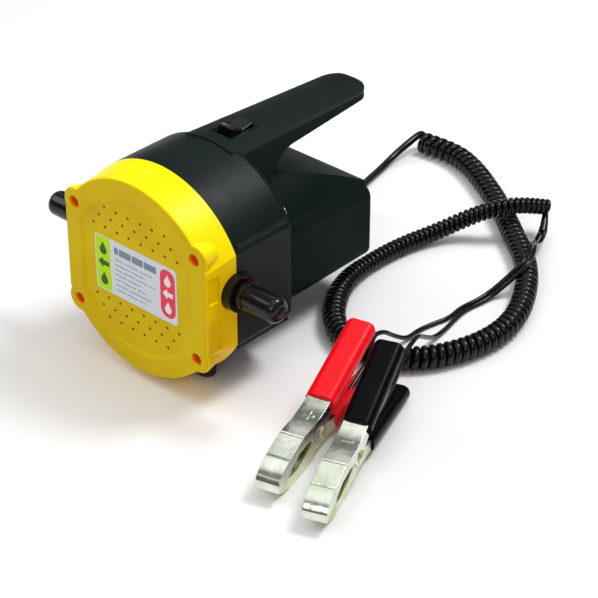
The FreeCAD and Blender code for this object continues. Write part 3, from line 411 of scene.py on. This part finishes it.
def label_print():
    """Generic marks in the places of the printed ones: drops, arrows, a title bar and rows of text bars."""
    half_w, half_h = 29.0, 15.8
    bar = 0.42
    green = printed("ink_green", (0.5, 0.84, 0.0))
    pink = printed("ink_pink", (0.86, 0.05, 0.1))
    blue = printed("ink_blue_grey", (0.22, 0.26, 0.36))
    grey = printed("ink_grey", (0.4, 0.43, 0.5))
    dark = printed("ink_dark_green", (0.05, 0.12, 0.01))
    white = printed("ink_white", (0.88, 0.84, 0.85))
    strip = rounded_box(-half_w, -18.4, -half_h, half_h, 2.0, corners=(0, 1, 1, 0))
    print_layer("label_green_strip", [strip], 1, green)
    print_layer("label_pink_strip", [rounded_box(17.8, 28.4, -13.6, 14.6, 4.6)], 1, pink)
    marks = [droplet(-23.6, 7.8, 2.6), arrow(-23.6, 0.2, 8.0, 6.4), droplet(-23.6, -10.4, 2.6)]
    print_layer("label_marks", marks, 2, dark)
    arrows = [droplet(23.1, 7.2, 2.4), arrow(23.1, 0.4, 7.4, 6.0), droplet(23.1, -8.8, 2.4)]
    print_layer("label_arrows", arrows, 2, white)

    blocks = ((-15.4, -12.6), (-11.8, -3.2), (-2.4, 5.6), (6.4, 15.2))
    title = [rounded_box(x0, x1, 8.8, 12.8, 0.5) for x0, x1 in blocks]
    print_layer("label_title", title, 1, blue)
    rows = [(5.6, ((-15, -9), (-8, 2), (3, 12))), (2.6, ((-15, -4), (-3, 6))),
            (-0.4, ((-15, -10), (-9, -1), (0, 9), (10, 14))), (-3.4, ((-15, -7), (-6, 3))),
            (-6.4, ((-15, -11), (-10, 0), (1, 7))), (-9.4, ((-15, -6), (-5, 11))),
            (-12.4, ((-15, -8), (-7, 1), (2, 6)))]
    lines = [rounded_box(x0, x1, z - bar, z + bar, 0.25) for z, words in rows for x0, x1 in words]
    print_layer("label_lines", lines, 1, grey)


# ---------------------------------------------------------------- cords

CORD_D = 4.3
LEAD_D = 2.6
FLOOR = CORD_D / 2 + 0.05
COIL_Z = 6.85
COIL_END_Z = 5.35
LEAD_Z = LEAD_D / 2 + 0.1

LEAD_IN = [(-4.6, 83.1, 32.5), (-4.6, 96, 32.5), (-11.5, 108, 27), (-22, 116, 15), (-34, 123, 5),
           (-42, 137, FLOOR), (-46.5, 154, FLOOR), (-50, 171, FLOOR), (-51.8, 184, 4.5), (-50.3, 195, 9)]

COIL = [(-50, 206.4, COIL_Z), (-29, 209.5, COIL_Z), (-9, 204.5, COIL_Z), (13, 192, COIL_Z), (37, 176, COIL_Z),
        (64, 154.5, COIL_Z), (87, 136, COIL_Z), (105, 112, COIL_Z), (117.5, 86, COIL_Z), (120, 62, COIL_Z),
        (114, 38, COIL_Z), (101, 17, COIL_Z), (77, 5, COIL_Z), (52, 12, COIL_Z), (33, 33, COIL_Z),
        (22.5, 57, COIL_Z), (19.5, 80, COIL_END_Z), (20.5, 104, COIL_END_Z), (27, 128, 6.6), (38.5, 145, 14),
        (52, 153.5, 22), (61, 166, 22), (69, 179.5, 17.5)]

# The jacket runs straight on from the last turn, and flares where the two leads come out of it:
# its thickness there is given against the cord's.
JACKET_END = [(71, 173.5, 13.4), (73.2, 170, 10.6), (74.8, 166.6, 8.4)]
JACKET_FLARE = [0.95, 1.1, 1.25]

LEADS = [(75.4, 164.2, 7), (78.5, 156, 7), (84, 146, 14.5), (91, 135, 17.9), (96.5, 123.5, 17.9),
         (94.5, 113, 12.5), (88.5, 104, 3), (87, 93, LEAD_Z), (85, 81, LEAD_Z), (87, 69, LEAD_Z)]
TO_BLACK = [(91, 58, LEAD_Z), (92.5, 47, 2.5), (95.5, 36, 9.5), (98.5, 26, 17), (102, 16, 18.4),
            (106, 5.5, 18.4)]
TO_RED = [(82.5, 59, LEAD_Z), (80.5, 48, LEAD_Z), (82, 37, 2), (81.5, 26.5, 9), (82, 17, 16.8),
          (82.5, 7.5, 18.4)]

# Each clamp: its pivot, and which way its nose points, in degrees. Both are pitched nose down.
CLAMPS = {"red": ((110.0, -71.4), -75.2), "black": ((138.1, -74.7), -69.6)}
CLAMP_PITCH = 8.6
# The leads' last points in a clamp's own frame: in between its handles, then into the lower one.
CLAMP_ENTRY = [(-68, -9.4), (-54, -9.2), (-40, -11.4)]

# Along the coil, from 0 to 1: its outside diameter and the distance from turn to turn.
COIL_OUTSIDE = [(0.0, 13.4), (0.69, 13.4), (0.77, 10.5), (0.9, 10.4), (1.0, 9.6)]
COIL_PITCH = [(0.0, 5.4), (0.12, 5.0), (0.3, 4.5), (0.65, 4.35), (0.8, 3.6), (1.0, 3.1)]
POINTS_PER_TURN = 12
COIL_STEP = 0.05       # how finely the coil's route is read
TURNS_TOUCH = 0.97     # the cord is never thicker than this much of the pitch
HELIX_SWELL = 1.02     # the line runs a little inside its control points
STEADY = 0.98          # how much of the last direction each step keeps
LEADS_APART = 3.2


def between(table, at):
    """The value of a table of (place, value) pairs at a place, in straight lines."""
    for (x0, y0), (x1, y1) in zip(table, table[1:]):
        if at <= x1:
            return y0 + (y1 - y0) * max(0.0, at - x0) / (x1 - x0)
    return table[-1][1]


def curve_object(name, points, diameter, radii=None):
    """An open NURBS line of order 3 through millimetre control points; no bevel if diameter is 0."""
    curve = bpy.data.curves.new(name, "CURVE")
    curve.dimensions = "3D"
    curve.resolution_u = 3 if radii else 10
    curve.bevel_depth = diameter / 2 * MM
    curve.bevel_resolution = 3
    curve.use_fill_caps = diameter > 0
    spline = curve.splines.new("NURBS")
    spline.points.add(len(points) - 1)
    for point, place in zip(spline.points, points):
        point.co = (*[value * MM for value in place], 1.0)
    for point, radius in zip(spline.points, radii or []):
        point.radius = radius
    spline.order_u = 3
    spline.use_endpoint_u = True
    made = bpy.data.objects.new(name, curve)
    SCENE.collection.objects.link(made)
    return made


def line_of(points):
    """Points, in millimetres, along the NURBS line of a route."""
    route = curve_object("route", points, 0)
    mesh = bpy.data.meshes.new_from_object(route)
    line = [vertex.co / MM for vertex in mesh.vertices]
    bpy.data.objects.remove(route)
    bpy.data.meshes.remove(mesh)
    return line


def walk(line, step):
    """(distance, place, direction) every step along a line."""
    stations, travelled, wanted = [], 0.0, 0.0
    for a, b in zip(line, line[1:]):
        span = (b - a).length
        while span and wanted <= travelled + span:
            stations.append((wanted, a.lerp(b, (wanted - travelled) / span), (b - a) / span))
            wanted += step
        travelled += span
    return travelled, stations


def helix():
    """The curly cord's turns round the coil's route, and each point's thickness against the cord's.

    They start at the top of the coil and end at its bottom, half a turn past a whole number.
    """
    total, stations = walk(line_of(COIL), COIL_STEP)
    turns = sum(COIL_STEP / between(COIL_PITCH, s / total) for s, _, _ in stations)
    stretch = (math.floor(turns) + 0.5) / turns
    points, thickness, done, next_at = [], [], 0.0, 0.0
    smooth = stations[0][2]
    for s, place, direction in stations:
        smooth = (smooth * STEADY + direction * (1 - STEADY)).normalized()
        pitch = between(COIL_PITCH, s / total)
        if done >= next_at:
            thick = min(CORD_D, TURNS_TOUCH * pitch)
            side = Vector((0, 0, 1)).cross(smooth).normalized()
            up = smooth.cross(side)
            angle = math.radians(90) - 2 * math.pi * done
            reach = (between(COIL_OUTSIDE, s / total) - thick) / 2
            points.append(place + (side * math.cos(angle) + up * math.sin(angle)) * reach * HELIX_SWELL)
            thickness.append(thick / CORD_D)
            next_at += 1 / POINTS_PER_TURN
        done += COIL_STEP / pitch * stretch
    return points, thickness


def clamp_point(name, x, z):
    """Where a point of a clamp's mid-plane lies, given ahead of and above its pivot, in millimetres."""
    (px, py), heading = CLAMPS[name]
    low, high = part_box("clamp_" + name + "_rivet")
    pivot_z = (low.z + high.z) / 2 / MM
    tilt, turn = math.radians(CLAMP_PITCH), math.radians(heading)
    ahead = x * math.cos(tilt) + z * math.sin(tilt)
    rise = z * math.cos(tilt) - x * math.sin(tilt)
    return Vector((px + ahead * math.cos(turn), py + ahead * math.sin(turn), pivot_z + rise))


def length_of(points):
    return walk(line_of(points), 1.0)[0] * MM


def cords():
    """The curly cord, then the two leads from its end to the clamps, in place of their CAD solids."""
    turns, thickness = helix()
    main = [Vector(p) for p in LEAD_IN] + turns + [Vector(p) for p in JACKET_END]
    radii = [1.0] * len(LEAD_IN) + thickness + JACKET_FLARE
    cord = curve_object("curly_cord", main, CORD_D, radii)
    cord.data.materials.append(FINISHES["cord_jacket"])
    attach(cord, "pump")
    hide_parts("cord_lead_in", "cord_coil", "cord_coil_end")
    length_of(main)
    end = Vector(JACKET_END[-1])
    for name, side, branch in (("black", 1, TO_BLACK), ("red", -1, TO_RED)):
        shift = Vector((side * LEADS_APART / 2, 0, 0))
        # Inside the jacket's end, the leads lie closer together.
        route = [Vector(JACKET_END[-2]) + shift * 0.7, end + shift * 0.8]
        route += [Vector(p) + shift for p in LEADS] + [Vector(p) for p in branch]
        route += [clamp_point(name, x, z) for x, z in CLAMP_ENTRY]
        lead = curve_object("lead_to_" + name, route, LEAD_D)
        lead.data.materials.append(FINISHES["cord_jacket"])
        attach(lead, "pump")
        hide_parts("lead_" + name)
        length_of(route)


# ---------------------------------------------------------------- studio

LIT_SPOT = Vector((0.03, 0, 0.05))


def floor_material():
    s = Shader("studio_floor", (0.9, 0.9, 0.9), 0.7)
    s.colour(s.ramp(s.noise(3), [(0.3, (0.9, 0.9, 0.9)), (0.7, (0.92, 0.92, 0.92))]))
    return s.material


def surroundings():
    """A studio seen in reflections: bright and dark bands by height, with soft ends.

    A height is the sine of the angle above the horizon.
    """
    world = bpy.data.worlds.new("studio")
    world.use_nodes = True
    tree = world.node_tree
    place = tree.nodes.new("ShaderNodeTexCoord").outputs["Generated"]
    split = tree.nodes.new("ShaderNodeSeparateXYZ")
    tree.links.new(place, split.inputs[0])
    ramp = tree.nodes.new("ShaderNodeValToRGB")
    tree.links.new(split.outputs[2], ramp.inputs[0])
    bands = [(0.0, 0.12), (0.5, 0.16), (0.58, 0.75), (0.63, 0.85), (0.69, 0.25), (0.82, 0.25), (0.9, 1.2),
             (1.0, 1.4)]
    while len(ramp.color_ramp.elements) < len(bands):
        ramp.color_ramp.elements.new(0.5)
    for element, (height, level) in zip(ramp.color_ramp.elements, bands):
        element.position = height
        element.color = (level, level, level * 1.02, 1)
    tree.links.new(ramp.outputs[0], tree.nodes["Background"].inputs["Color"])
    tree.nodes["Background"].inputs["Strength"].default_value = 1.0
    SCENE.world = world


def studio():
    """The floor, the surroundings and three soft lights."""
    bm = bmesh.new()
    bmesh.ops.create_grid(bm, x_segments=1, y_segments=1, size=40.0)
    new_mesh_object("floor", bm, floor_material())
    surroundings()
    lights = [("key", (0.35, 0.55, 1.15), 0.4, 9), ("left", (-1.0, -0.5, 0.9), 0.7, 4),
              ("front", (0.5, -1.2, 0.9), 0.8, 4)]
    for name, place, size, watts in lights:
        light = bpy.data.lights.new(name, "AREA")
        light.size = size
        light.energy = watts
        lamp = bpy.data.objects.new(name, light)
        lamp.location = place
        lamp.rotation_euler = (LIT_SPOT - lamp.location).to_track_quat("-Z", "Y").to_euler()
        SCENE.collection.objects.link(lamp)


def camera():
    """The photograph's angle: from the front right, looking down on the pump."""
    azimuth, elevation, distance = math.radians(42.26), math.radians(32.48), 1.1298
    target = Vector((0.0631, -0.0283, 0.0501))
    back = Vector((math.sin(azimuth) * math.cos(elevation), -math.cos(azimuth) * math.cos(elevation),
                   math.sin(elevation)))
    data = bpy.data.cameras.new("camera")
    data.lens = 132.9
    made = bpy.data.objects.new("camera", data)
    made.location = target + back * distance
    made.rotation_euler = (-back).to_track_quat("-Z", "Y").to_euler()
    SCENE.collection.objects.link(made)
    SCENE.camera = made


# ---------------------------------------------------------------- the whole scene

SCENE.view_settings.view_transform = "Standard"
finish_nodes()
label_print()
cords()
studio()
camera()
